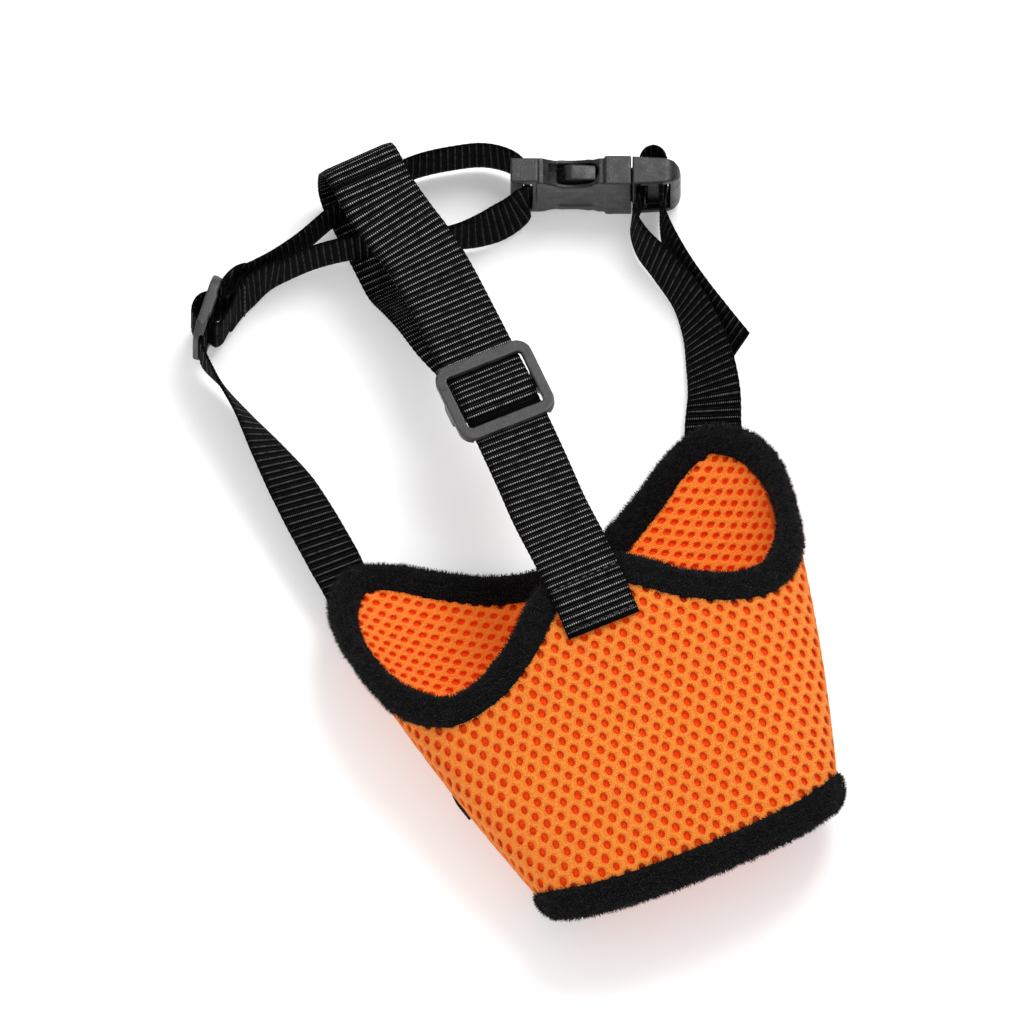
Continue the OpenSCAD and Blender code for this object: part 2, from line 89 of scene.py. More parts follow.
def knot(a, b, c, d, t):
    """A smooth curve from b to c that allows for how far apart the four points are."""
    t = np.asarray(t, float)[..., None]
    s0, s1, s2 = root_gap(a, b), root_gap(b, c), root_gap(c, d)
    leave = c - b + s1 * ((b - a) / s0 - (c - a) / (s0 + s1))
    arrive = c - b + s1 * ((d - c) / s2 - (d - b) / (s1 + s2))
    return b + t * leave + t * t * (3 * (c - b) - 2 * leave - arrive) + t**3 * (leave + arrive - 2 * (c - b))


def smooth(points, steps):
    """An open smooth curve through the points, with that many steps between two of them."""
    p = np.array(points, float)
    p = np.vstack([2 * p[0] - p[1], p, 2 * p[-1] - p[-2]])
    t = np.arange(steps) / steps
    spans = [knot(*(np.repeat(p[i + k][None], steps, 0) for k in range(4)), t) for i in range(len(p) - 3)]
    return np.vstack([*spans, p[-2][None]])


def smoothstep(low, high, x):
    """0 below low, 1 above high, smooth between."""
    t = np.clip((np.asarray(x, float) - low) / (high - low), 0, 1)
    return t * t * (3 - 2 * t)


# ---------- the muzzle's surface, as in part.scad ----------
MESH_T = 3.5
NOSE_W, NOSE_H, CROWN = 99.0, 28.0, 2.0
TAPE_W, TAPE_T = 11.0, 7.5
HEAD_W, NECK_W, WEB_T = 25.0, 20.0, 1.3
GAP = 0.15
RIGHT_FACE = [
    (0, -19, 47), (14, -23, 47), (29, -34, 45), (44, -40.6, 42), (56.6, -40.8, 38), (68, -31.3, 33),
    (73.6, -16, 28), (74.8, -1, 23), (71.4, 12, 17), (62.6, 20.5, 11), (51, 18.5, 7), (37, 10.5, 4.8),
    (19, 1.5, 4.3), (0, -2, 4.3),
]
BRIDGE_Y = RIGHT_FACE[0][1]
LEFT_SQUASH, LEFT_SAG = 0.98, 0.1
LEFT_FACE = [
    (-LEFT_SQUASH * x, y + LEFT_SAG * min(0, y - BRIDGE_Y), z) for x, y, z in RIGHT_FACE[-2:0:-1]
]
FACE = np.array(RIGHT_FACE + LEFT_FACE, float)
NOSE_MID_Y, NOSE_LEAN = -109.5, 11.5
NOSE_MID_Z = NOSE_H / 2 + TAPE_T / 2 + 0.4
NOSE_ROUND_X, NOSE_ROUND_Z = 0.8, 0.7  # 1 is an ellipse, and less is squarer
BODY_YAW = math.radians(-2)
YAW_PIVOT = np.array([0.0, -40.0, 0.0])
YAW = np.array([
    [math.cos(BODY_YAW), -math.sin(BODY_YAW), 0],
    [math.sin(BODY_YAW), math.cos(BODY_YAW), 0],
    [0, 0, 1],
])
SEAM_U = 0.28
STEP = 0.002


def signed_power(v, power):
    return np.sign(v) * np.abs(v) ** power


def face_point(u):
    t = (np.asarray(u, float) % 1) * len(FACE)
    i = np.floor(t).astype(int)
    return knot(*(FACE[(i + k) % len(FACE)] for k in (-1, 0, 1, 2)), t - i)


def nose_point(u):
    a = 2 * math.pi * np.asarray(u, float)
    return np.stack([
        NOSE_W / 2 * signed_power(np.sin(a), NOSE_ROUND_X),
        NOSE_MID_Y - NOSE_LEAN * np.cos(a),
        NOSE_MID_Z + NOSE_H / 2 * signed_power(np.cos(a), NOSE_ROUND_Z),
    ], -1)


def skin_mid(u, v):
    """The middle of the mesh: u runs once round from the nose bridge, v from the nose to the face."""
    u, v = np.broadcast_arrays(np.asarray(u, float), np.asarray(v, float))
    a, w = 2 * math.pi * u, v[..., None]
    out = np.stack([np.sin(a), np.zeros_like(a), np.cos(a)], -1)
    p = nose_point(u) * (1 - w) + face_point(u) * w + 4 * w * (1 - w) * CROWN * out
    return YAW_PIVOT + (p - YAW_PIVOT) @ YAW.T


def slopes(u, v):
    """How fast the surface's point moves with u and with v."""
    by_u = skin_mid(u + STEP, v) - skin_mid(u - STEP, v)
    by_v = skin_mid(u, v + STEP) - skin_mid(u, v - STEP)
    return by_u / (2 * STEP), by_v / (2 * STEP)


def skin_normal(u, v):
    """Points out of the muzzle."""
    return unit(np.cross(*slopes(u, v)))


def skin(u, v, h):
    """The point at height h above the middle of the mesh."""
    return skin_mid(u, v) + np.asarray(h, float)[..., None] * skin_normal(u, v)


def dot(a, b):
    return (a * b).sum(-1)


def beside(u, edge, distance):
    """u and v at distances square off an edge, outwards: one row for each u, one column for each distance."""
    a, b = slopes(u, np.full_like(u, edge))
    a, b = unit(a), b * (1 if edge == 1 else -1)
    out = unit(b - dot(a, b)[:, None] * a)
    goal = skin_mid(u, np.full_like(u, edge))[:, None] + np.asarray(distance)[None, :, None] * out[:, None]
    u = np.repeat(u[:, None], len(distance), 1)
    v = np.full_like(u, edge)
    for _ in range(4):  # each round lands much nearer the goal
        a, b = slopes(u, v)
        d = goal - skin_mid(u, v)
        aa, ab, bb = dot(a, a), dot(a, b), dot(b, b)
        u, v = (u + (dot(d, a) * bb - dot(d, b) * ab) / (aa * bb - ab * ab),
                v + (dot(d, b) * aa - dot(d, a) * ab) / (aa * bb - ab * ab))
    return u, v


def skin_length(u):
    """Straight from the nose edge to the face edge."""
    return np.linalg.norm(face_point(u) - nose_point(u), axis=-1)


class FlatCloth:
    """A panel laid flat: where a point so many millimetres across and along the cloth lies on the skin."""

    ROW_STEP = 2.0
    SPARE_U = 0.03  # past each seam, for the cells that cross it

    def __init__(self, u_mid, half_u):
        self.u_mid, self.half_u = u_mid, half_u
        self.levels = np.arange(-140.0, 60.0, self.ROW_STEP)
        u = u_mid + np.linspace(-half_u - self.SPARE_U, half_u + self.SPARE_U, 241)
        self.across = np.arange(-140.0, 141.0, 1.0)
        rows = []
        for y in self.levels:
            p = skin_mid(u, self.v_at(u, y))
            run = np.concatenate([[0], np.cumsum(np.linalg.norm(np.diff(p, axis=0), axis=1))])
            rows.append(np.interp(self.across, run - np.interp(u_mid, u, run), u))
        self.table = np.array(rows)

    @staticmethod
    def v_at(u, y):
        near, far = nose_point(u)[..., 1], face_point(u)[..., 1]
        return (y - near) / (far - near)

    def to_skin(self, x, y):
        i = np.clip((y - self.levels[0]) / self.ROW_STEP, 0, len(self.levels) - 1.001)
        j = np.clip(x - self.across[0], 0, len(self.across) - 1.001)
        i0, j0 = i.astype(int), j.astype(int)
        fi, fj = i - i0, j - j0
        t = self.table
        u = (t[i0, j0] * (1 - fi) + t[i0 + 1, j0] * fi) * (1 - fj)
        u += (t[i0, j0 + 1] * (1 - fi) + t[i0 + 1, j0 + 1] * fi) * fj
        return u, self.v_at(u, y)


# ---------- meshes ----------
def new_mesh(points, quads=(), tris=(), uv=None, values=None, smooth_shade=True):
    """A mesh from points in millimetres about the muzzle; uv and values are per point."""
    quads = np.asarray(quads, np.int64).reshape(-1, 4)
    tris = np.asarray(tris, np.int64).reshape(-1, 3)
    corners = np.concatenate([quads.ravel(), tris.ravel()])
    sizes = np.concatenate([np.full(len(quads), 4), np.full(len(tris), 3)])
    mesh = bpy.data.meshes.new("piece")
    mesh.vertices.add(len(points))
    mesh.vertices.foreach_set("co", place(points).astype(np.float32).ravel())
    mesh.loops.add(len(corners))
    mesh.loops.foreach_set("vertex_index", corners.astype(np.int32))
    mesh.polygons.add(len(sizes))
    mesh.polygons.foreach_set("loop_start", (np.cumsum(sizes) - sizes).astype(np.int32))
    mesh.update(calc_edges=True)
    mesh.polygons.foreach_set("use_smooth", np.full(len(sizes), smooth_shade))
    if uv is not None:
        layer = mesh.uv_layers.new(name="cloth")
        layer.data.foreach_set("uv", np.asarray(uv, np.float32)[corners].ravel())
    if values is not None:
        layer = mesh.attributes.new("shade", "FLOAT", "POINT")
        layer.data.foreach_set("value", np.asarray(values, np.float32))
    mesh.validate()
    return mesh


def new_piece(name, mesh, slot, stands_for=()):
    """Shows a mesh under its own name and material slot, in place of the CAD nodes it stands for."""
    mesh.name = name
    ob = bpy.data.objects.new(name, mesh)
    bpy.context.scene.collection.objects.link(ob)
    mesh.materials.append(MATERIALS[slot])
    if stands_for:
        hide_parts(*stands_for)
    return ob


def strip(rows, cols, wrap_rows=False, wrap_cols=False):
    """Quads of a grid of points, counted row by row."""
    i, j = np.meshgrid(np.arange(rows - (not wrap_rows)), np.arange(cols - (not wrap_cols)), indexing="ij")
    i2, j2 = (i + 1) % rows, (j + 1) % cols
    return np.stack([i * cols + j, i2 * cols + j, i2 * cols + j2, i * cols + j2], -1).reshape(-1, 4)


def closed_sheet(rows, cols):
    """Quads of a grid of points, the same grid turned over behind it, and the rim between the two."""
    behind = rows * cols
    index = np.arange(behind).reshape(rows, cols)
    edge = np.concatenate([index[:, 0], index[-1, 1:], index[-2::-1, -1], index[0, -2:0:-1]])
    after = np.roll(edge, -1)
    rim = np.stack([edge, after, after + behind, edge + behind], -1)
    grid = strip(rows, cols)
    return np.vstack([grid, grid[:, ::-1] + behind, rim])


# ---------- materials ----------
class Shader:
    """A Principled material and short calls for the nodes that feed it."""

    def __init__(self, name, roughness, specular, sheen=0.0):
        self.material = bpy.data.materials.new(name)
        self.material.use_nodes = True
        self.tree = self.material.node_tree
        self.principled = self.tree.nodes["Principled BSDF"]
        self.set("Roughness", roughness)
        self.set("Specular IOR Level", specular)
        self.set("Sheen Weight", sheen)

    def set(self, socket, value):
        self.principled.inputs[socket].default_value = value

    def link(self, value, socket):
        """Feeds a socket from a node's output, or sets it to a plain value."""
        if isinstance(value, bpy.types.NodeSocket):
            self.tree.links.new(value, socket)
        else:
            socket.default_value = value

    def node(self, kind, **settings):
        n = self.tree.nodes.new(kind)
        for k, v in settings.items():
            setattr(n, k, v)
        return n

    def math(self, operation, a, b=0.0, clamp=False):
        n = self.node("ShaderNodeMath", operation=operation, use_clamp=clamp)
        self.link(a, n.inputs[0])
        self.link(b, n.inputs[1])
        return n.outputs[0]

    def between(self, value, low, high):
        """0 below low, 1 above high, smooth between."""
        n = self.node("ShaderNodeMapRange", interpolation_type="SMOOTHSTEP")
        self.link(value, n.inputs["Value"])
        n.inputs["From Min"].default_value = low
        n.inputs["From Max"].default_value = high
        return n.outputs["Result"]

    def cloth(self):
        """Millimetres across and along the cloth."""
        uv = self.node("ShaderNodeUVMap", uv_map="cloth")
        parts = self.node("ShaderNodeSeparateXYZ")
        self.tree.links.new(uv.outputs["UV"], parts.inputs[0])
        return parts.outputs["X"], parts.outputs["Y"]

    def shade(self):
        """The value that new_mesh stored at each point."""
        return self.node("ShaderNodeAttribute", attribute_name="shade").outputs["Fac"]

    def noise(self, size_mm, detail=2.0, roughness=0.6):
        """Even noise whose blots are about that size."""
        where = self.node("ShaderNodeTexCoord")
        n = self.node("ShaderNodeTexNoise")
        n.inputs["Scale"].default_value = 1 / (size_mm * MM)
        n.inputs["Detail"].default_value = detail
        n.inputs["Roughness"].default_value = roughness
        self.tree.links.new(where.outputs["Object"], n.inputs["Vector"])
        return n.outputs["Fac"]

    def mix(self, factor, a, b):
        """From colour a, at a factor of 0, to colour b."""
        n = self.node("ShaderNodeMix", data_type="RGBA")
        self.link(factor, n.inputs["Factor"])
        for value, socket in ((a, n.inputs[6]), (b, n.inputs[7])):
            self.link(value if isinstance(value, bpy.types.NodeSocket) else (*value, 1.0), socket)
        return n.outputs[2]

    def wave(self, value, period):
        """From 0 to 1, once a period."""
        turned = self.math("SINE", self.math("MULTIPLY", value, 2 * math.pi / period))
        return self.math("ADD", self.math("MULTIPLY", turned, 0.5), 0.5)

    def bump(self, height, depth_mm):
        n = self.node("ShaderNodeBump")
        n.inputs["Strength"].default_value = 1.0
        n.inputs["Distance"].default_value = depth_mm * MM
        self.link(height, n.inputs["Height"])
        return n.outputs["Normal"]

    def finish(self, colour, normal=None, roughness=None):
        """Connects what was worked out to the shader, and hands over the material."""
        self.link(colour, self.principled.inputs["Base Color"])
        if normal is not None:
            self.link(normal, self.principled.inputs["Normal"])
        if roughness is not None:
            self.link(roughness, self.principled.inputs["Roughness"])
        return self.material


RIB = 2.36  # from one dotted line of the webbing to the next
YARN = 0.74  # from one dot of a line to the next
FUZZ = 0.5  # blots of the mesh's fluffy yarn
LOOP_WIDE, LOOP_LONG, LOOP_SWAY = 0.75, 0.66, 1.3
KNIT_GLOW, SPACER_GLOW = (1.0, 0.09, 0.0), (1.0, 0.07, 0.0)
# painted shade: a darker red down each hole's wall
HOLE_SHADE_RED = (0.85, 0.06, 0.002)
RED_ORANGE = (0.90, 0.085, 0.001)
ORANGE = (1.0, 0.30, 0.02)
LOOP_ORANGE = (1.0, 0.37, 0.05)
# painted highlight on the raised borders between holes
RIDGE_LIT_ORANGE = (1.0, 0.42, 0.08)
SPACER_RED, SPACER_ORANGE = (0.74, 0.03, 0.001), (0.95, 0.11, 0.004)
TWILL_RED, TWILL_ORANGE = (0.78, 0.08, 0.003), (0.95, 0.2, 0.015)
PILE_BLACK, PILE_SOFT_BLACK = (0.0022, 0.0021, 0.0022), (0.006, 0.0058, 0.0058)
# painted sheen on the hair tips
PILE_TIP_SHEEN = (0.075, 0.072, 0.07)
WEB_BLACK, WEB_SOFT_BLACK = (0.0008, 0.0008, 0.001), (0.0026, 0.0026, 0.003)
# painted highlight on the dotted yarn of the webbing
WEB_DOT_HIGHLIGHT = (0.38, 0.375, 0.365)
THREAD_BLACK, THREAD_GREY = (0.012, 0.012, 0.013), (0.05, 0.05, 0.052)
TAG_BLACK, TAG_GREY = (0.006, 0.006, 0.007), (0.02, 0.02, 0.022)
SLIDER_GREY, BUCKLE_GREY = (0.014, 0.0143, 0.0145), (0.0042, 0.0044, 0.0046)


def knit_material(name, glow):
    """Fluffy knitted yarn. Its glow is the light that comes through the mesh to the face seen from inside."""
    s = Shader(name, roughness=0.8, specular=0.1, sheen=0.1)
    s.set("Emission Color", (*KNIT_GLOW, 1.0))
    s.set("Emission Strength", glow)
    across, along = s.cloth()
    height = s.shade()
    sway = s.math("MULTIPLY", s.wave(along, LOOP_SWAY), 0.4)
    columns = s.wave(s.math("ADD", across, sway), LOOP_WIDE)
    loops = s.math("MULTIPLY", columns, s.wave(along, LOOP_LONG))
    fuzz = s.noise(FUZZ, detail=4.0, roughness=0.75)
    flat = s.mix(s.between(fuzz, 0.36, 0.64), RED_ORANGE, ORANGE)
    yarn = s.mix(s.math("MULTIPLY", loops, 0.7), flat, LOOP_ORANGE)
    # Painted highlight: the raised borders between holes are made paler, as if lit from above.
    raised = s.math("MULTIPLY", s.between(height, 0.55, 1.0), 0.3)
    ridge_lit = s.mix(raised, yarn, RIDGE_LIT_ORANGE)
    # Painted shade: darker red towards the foot of each hole's wall.
    colour = s.mix(s.between(height, -0.9, 0.1), HOLE_SHADE_RED, ridge_lit)
    grain = s.math("ADD", loops, s.math("MULTIPLY", fuzz, 2.2))
    return s.finish(colour, s.bump(grain, 0.3))


def spacer_material():
    """The yarn between the two faces, lit a little by what comes through them."""
    s = Shader("spacer_yarn", roughness=0.8, specular=0.1)
    s.set("Emission Color", (*SPACER_GLOW, 1.0))
    s.set("Emission Strength", 0.1)
    fuzz = s.noise(FUZZ, detail=3.0)
    colour = s.mix(s.between(fuzz, 0.35, 0.7), SPACER_RED, SPACER_ORANGE)
    return s.finish(colour, s.bump(fuzz, 0.3))


def plush_material():
    """Black pile in soft clumps. The shade is 1 at a hair's tip, where a painted sheen shows palest."""
    s = Shader("plush", roughness=0.9, specular=0.05, sheen=0.08)
    tip = s.between(s.shade(), 0.1, 1.0)
    clump = s.between(s.noise(2.0, detail=2.0), 0.42, 0.68)
    dark = s.mix(clump, PILE_BLACK, PILE_SOFT_BLACK)
    # Painted sheen: hair tips made grey-pale, as if catching the light.
    pale = s.math("MULTIPLY", s.math("MULTIPLY", tip, tip), 0.85)
    return s.finish(s.mix(pale, dark, PILE_TIP_SHEEN))


def webbing_material():
    """Ribs across the webbing. The shade of a place says how bright the painted highlight on its dots shows.
    """
    s = Shader("webbing", roughness=0.75, specular=0.02)
    across, along = s.cloth()
    line = s.wave(s.math("ADD", along, RIB / 2), RIB)
    half_line = s.math("MULTIPLY", s.between(s.wave(along, RIB / 2), 0.75, 0.98), 0.13)
    rows = s.math("MAXIMUM", s.between(line, 0.86, 0.98), half_line)
    dots = s.wave(s.math("ADD", across, s.math("MULTIPLY", s.noise(1.5), 0.25)), YARN)
    lit = s.math("MULTIPLY", rows, s.between(dots, 0.35, 0.8))
    patches = s.math("ADD", 0.3, s.between(s.noise(2.4, detail=3.0), 0.3, 0.62))
    # Painted highlight: the lit dots in patches, as bright as the shade of the place allows.
    dot_highlight = s.math("MULTIPLY", s.math("MULTIPLY", lit, patches), s.shade(), clamp=True)
    black = s.mix(s.between(s.noise(0.6), 0.3, 0.7), WEB_BLACK, WEB_SOFT_BLACK)
    yarn = s.math("MULTIPLY", dots, s.wave(along, RIB / 2))
    return s.finish(s.mix(dot_highlight, black, WEB_DOT_HIGHLIGHT), s.bump(yarn, 0.2))


def thread_material():
    s = Shader("thread", roughness=0.6, specular=0.3)
    colour = s.mix(s.noise(0.3), THREAD_BLACK, THREAD_GREY)
    return s.finish(colour, s.bump(s.noise(0.12), 0.05))


def tape_material(name, dark, light):
    """Woven tape with a fine diagonal twill."""
    s = Shader(name, roughness=0.8, specular=0.2)
    across, along = s.cloth()
    twill = s.wave(s.math("ADD", across, along), 0.7)
    return s.finish(s.mix(twill, dark, light), s.bump(twill, 0.12))


def plastic_material(name, colour, grain_mm, roughness, specular):
    """Moulded acetal: spark-eroded grain, painted reflection in blots, painted highlight on edges and
    corners.
    """
    s = Shader(name, roughness=roughness, specular=specular)
    darker, lighter, pale = (tuple(k * c for c in colour) for k in (0.6, 2.2, 5))
    grain = s.noise(grain_mm, detail=3.0)
    # Painted reflection: broad blots of lighter and darker grey, with the roughness varied along them.
    reflection_blots = s.noise(4.0, detail=4.0, roughness=0.7)
    edge_sharpness = s.node("ShaderNodeNewGeometry").outputs["Pointiness"]
    base = s.mix(s.between(reflection_blots, 0.36, 0.64), darker, lighter)
    speck = s.mix(s.math("MULTIPLY", s.between(grain, 0.52, 0.66), 0.5), base, pale)
    # Painted highlight: edges and corners made paler.
    edge_highlight = s.math("MULTIPLY", s.between(edge_sharpness, 0.51, 0.58), 0.6)
    edge = s.mix(edge_highlight, speck, tuple(c + 0.02 for c in pale))
    rough = s.math("ADD", roughness - 0.12, s.math("MULTIPLY", s.between(reflection_blots, 0.3, 0.7), 0.24))
    return s.finish(edge, s.bump(grain, 0.09), rough)


MATERIALS = {
    "orange_mesh": knit_material("knit", 0.0),
    "seam_tape": tape_material("seam_twill", TWILL_RED, TWILL_ORANGE),
    "plush_tape": plush_material(),
    "webbing": webbing_material(),
    "thread": thread_material(),
    "tag_cloth": tape_material("tag_weave", TAG_BLACK, TAG_GREY),
    "slider_plastic": plastic_material("slider_acetal", SLIDER_GREY, 0.45, roughness=0.42, specular=0.45),
    "buckle_plastic": plastic_material("buckle_acetal", BUCKLE_GREY, 0.5, roughness=0.34, specular=0.3),
}
INNER_KNIT = knit_material("knit_inside", 0.22)
SPACER = spacer_material()


# ---------- the mesh panels ----------
TOP_CLOTH = FlatCloth(0.0, SEAM_U)
CHIN_CLOTH = FlatCloth(0.5, 0.5 - SEAM_U)
HIDDEN = 2.0  # how far the mesh runs on under the bindings, past the tape's middle
CORNERS = 12  # of each ring round a hole
# The four rings round a hole, from the foot of its wall to the cell's border: how high they are over the
# face's own surface, and the value the material reads to paint shade down the hole and a highlight on the
# border.
RING_HEIGHT = np.array([-1.0, -0.26, 0.0, 0.06])
RING_SHADE = np.array([-1.0, -0.3, 0.45, 1.0])
KNIT_SURFACE = MESH_T / 2 - 0.12
SAME_PLACE = 50  # corners of two cells are one where they agree to a fiftieth of a millimetre


def knit_cell(half_pitch, row_pitch):
    """The corners of the six-sided cell round a hole, with one more halfway along each side."""
    tip, shoulder = row_pitch * 2 / 3, row_pitch / 3
    six = np.array([
        (half_pitch, shoulder), (0, tip), (-half_pitch, shoulder),
        (-half_pitch, -shoulder), (0, -tip), (half_pitch, -shoulder),
    ])
    cell = np.empty((CORNERS, 2))
    cell[0::2] = six
    cell[1::2] = (six + np.roll(six, -1, 0)) / 2
    return cell


def knit_rings(half_pitch, row_pitch, rim, seed):
    """The four rings of every cell on the flat cloth. Holes differ a little in size and place."""
    reach_x, reach_y = int(130 / half_pitch), int(80 / row_pitch)
    i, j = np.meshgrid(np.arange(-reach_x, reach_x + 1), np.arange(-reach_y, reach_y + 1), indexing="ij")
    staggered = (i + j) % 2 == 0
    centre = np.stack([i[staggered] * half_pitch, j[staggered] * row_pitch - 50.0], -1)
    cell = knit_cell(half_pitch, row_pitch)
    heading = np.arctan2(cell[:, 1], cell[:, 0])
    round_rim = np.stack([rim[0] * np.cos(heading), rim[1] * np.sin(heading)], -1)
    rng = np.random.default_rng(seed)
    size = rng.uniform(0.9, 1.08, (len(centre), 1, 1))
    drift = rng.normal(0, 0.09, (len(centre), 1, 2))
    hole = centre[:, None] + drift + size * round_rim
    border = centre[:, None] + cell
    foot = hole * 0.96 + (centre[:, None] + drift) * 0.04
    shoulder = hole * 0.75 + border * 0.25
    return np.stack([foot, hole, shoulder, border], 1)


def shared_borders(rings):
    """Numbers for every ring's points, the same where the borders of two cells meet."""
    cells = len(rings)
    ids = np.arange(cells * 4 * CORNERS).reshape(cells, 4, CORNERS)
    key = np.round(rings[:, 3].reshape(-1, 2) * SAME_PLACE).astype(np.int64)
    _, first, back = np.unique(key, axis=0, return_index=True, return_inverse=True)
    ids[:, 3] = ids[:, 3].reshape(-1)[first][back.ravel()].reshape(cells, CORNERS)
    return ids


def knit_face(cloth, half_pitch, row_pitch, rim, side, seed):
    """One knitted face of the spacer mesh: staggered holes, each in a six-sided cell with a raised rim.

    side is 1 for the outside face and -1 for the inside one."""
    flat = knit_rings(half_pitch, row_pitch, rim, seed)
    u, v = cloth.to_skin(flat[..., 0], flat[..., 1])
    margin = HIDDEN / skin_length(u)
    inside = (np.abs(u - cloth.u_mid) < cloth.half_u) & (v > -margin) & (v < 1 + margin)
    held = inside[:, 3].any(1)
    u, v, margin, flat = u[held], v[held], margin[held], flat[held]
    u = np.clip(u, cloth.u_mid - cloth.half_u, cloth.u_mid + cloth.half_u)
    v = np.clip(v, -margin, 1 + margin)
    height = side * (KNIT_SURFACE + RING_HEIGHT)[None, :, None] * np.ones_like(u)
    points = skin(u, v, height).reshape(-1, 3)
    ids = shared_borders(flat)
    beyond = np.roll(ids, -1, 2)
    bands = [np.stack([ids[:, k], ids[:, k + 1], beyond[:, k + 1], beyond[:, k]], -1) for k in range(3)]
    quads = np.concatenate([band.reshape(-1, 4) for band in bands])
    if side < 0:
        quads = quads[:, ::-1]
    values = np.broadcast_to(RING_SHADE[None, :, None], u.shape).reshape(-1)
    used = np.unique(quads)
    renumbered = np.full(len(points), -1)
    renumbered[used] = np.arange(len(used))
    return new_mesh(points[used], renumbered[quads], uv=flat.reshape(-1, 2)[used], values=values[used])


def spacer_sheet(cloth, rows, cols, half_t=0.34):
    """The yarn between the two faces, as one closed sheet."""
    u = cloth.u_mid + np.linspace(-cloth.half_u, cloth.half_u, rows)[:, None] * np.ones((1, cols))
    margin = HIDDEN / skin_length(u)
    v = -margin + np.linspace(0, 1, cols)[None] * (1 + 2 * margin)
    top, low = (skin(u, v, np.full_like(u, h)).reshape(-1, 3) for h in (half_t, -half_t))
    return new_mesh(np.vstack([top, low]), closed_sheet(rows, cols))


def mesh_panel(node, cloth, half_pitch, row_pitch, rim, inner_rim, seed):
    """Two knitted faces and the spacer yarn between them. rim is a hole's half width and half length."""
    outer_face = knit_face(cloth, half_pitch, row_pitch, rim, 1, seed)
    inner_face = knit_face(cloth, half_pitch, row_pitch, inner_rim, -1, seed + 1)
    outside = new_piece(f"{node}_outside", outer_face, "orange_mesh")
    inside = new_piece(f"{node}_inside", inner_face, "orange_mesh")
    core = new_piece(f"{node}_spacer", spacer_sheet(cloth, 121, 61), "orange_mesh", [node])
    inside.data.materials[0] = INNER_KNIT
    core.data.materials[0] = SPACER
    for piece in (core, outside, inside):
        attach(piece, "muzzle")


mesh_panel("top_panel", TOP_CLOTH, 2.5, 3.62, (1.12, 1.5), (1.15, 1.5), 3)
mesh_panel("chin_panel", CHIN_CLOTH, 3.5, 2.12, (1.15, 1.05), (1.35, 1.15), 7)


# ---------- plush bindings ----------
ROOT_DEPTH = 0.2  # how deep a hair stands in the tape


def binding_section(points):
    """Outline of the folded tape: a lip that rolls down to the mesh, and a full round fold at the edge.

    It is drawn small enough to leave the pile its place inside the CAD binding."""
    half_t, half_w = TAPE_T / 2 - 0.45, TAPE_W / 2 - 0.55
    a = np.linspace(0, 2 * math.pi, points, endpoint=False)
    across = np.where(np.cos(a) > 0, half_w * np.cos(a), -half_w * np.abs(np.cos(a)) ** 0.5)
    high = half_t * np.abs(np.sin(a)) ** 0.8
    lip = (np.cos(a) < 0) & (high > 0.1)
    return across, np.sign(np.sin(a)) * np.where(lip, np.maximum(high, MESH_T / 2 + GAP), high)


def pile_noise(p, size):
    return np.array([noise.noise(Vector(q / size)) for q in p])


def tape_surface(edge, rings):
    """Points and quads of the tape round an edge, lumpy as the cloth under pile is."""
    u = np.arange(rings) / rings
    across, high = binding_section(28)
    flat = skin(*beside(u, edge, across), np.broadcast_to(high, (rings, len(high)))).reshape(-1, 3)
    away = unit(flat - np.repeat(skin_mid(u, np.full(rings, float(edge))), len(across), 0))
    lumps = 0.22 * pile_noise(flat, 2.6) + 0.16 * pile_noise(flat + 50, 1.1)
    faces = strip(rings, len(across), True, True)
    if edge == 1:
        faces = faces[:, ::-1]
    return flat + lumps[:, None] * away, faces


def hair_mesh(points, faces, hairs, seed):
    """Pile as thin three-sided spikes that stand on the faces, and lean together in drifts."""
    rng = np.random.default_rng(seed)
    corner = points[faces]
    normal = np.cross(corner[:, 2] - corner[:, 0], corner[:, 3] - corner[:, 1])
    area = np.linalg.norm(normal, axis=1) / 2
    pick = rng.choice(len(faces), hairs, p=area / area.sum())
    a, b = rng.random((2, hairs, 1))
    near = corner[pick, 0] * (1 - a) + corner[pick, 1] * a
    far = corner[pick, 3] * (1 - a) + corner[pick, 2] * a
    root = near * (1 - b) + far * b
    lean = rng.normal(0, 0.38, (hairs, 3))
    drift = np.stack([pile_noise(root[:, [k, (k + 1) % 3, (k + 2) % 3]], 3.2) for k in range(3)], 1)
    way = unit(unit(normal)[pick] + lean + 0.9 * drift)
    long = rng.uniform(0.8, 1.7, (hairs, 1)) * (1 + 0.35 * (rng.random((hairs, 1)) < 0.06))
    side = unit(np.cross(way, rng.normal(0, 1, (hairs, 3))))
    other = np.cross(way, side)
    half = rng.uniform(0.09, 0.16, (hairs, 1))
    root = root - ROOT_DEPTH * way
    thirds = (2 * math.pi * k / 3 for k in range(3))
    foot = [root + half * (math.cos(t) * side + math.sin(t) * other) for t in thirds]
    spikes = np.stack([*foot, root + (long + ROOT_DEPTH) * way], 1).reshape(-1, 3)
    base = np.arange(hairs)[:, None] * 4
    tris = np.concatenate([base + np.array(t) for t in ((0, 1, 3), (1, 2, 3), (2, 0, 3), (2, 1, 0))])
    # Painted sheen: each hair's tip gets a random share of the pale tip colour.
    tip_sheen = np.repeat(rng.random(hairs), 4) * np.tile([0.2, 0.2, 0.2, 1.0], hairs)
    return new_mesh(spikes, tris=tris, values=tip_sheen, smooth_shade=False)


def binding(node, edge, rings, hairs, seed):
    points, faces = tape_surface(edge, rings)
    cloth = new_mesh(points, faces, values=np.zeros(len(points)))
    tape = new_piece(f"{node}_tape", cloth, "plush_tape", [node])
    pile = new_piece(f"{node}_pile", hair_mesh(points, faces, hairs, seed), "plush_tape")
    for piece in (tape, pile):
        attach(piece, "muzzle")


binding("face_binding", edge=1, rings=300, hairs=49000, seed=11)
binding("nose_binding", edge=0, rings=200, hairs=34000, seed=12)


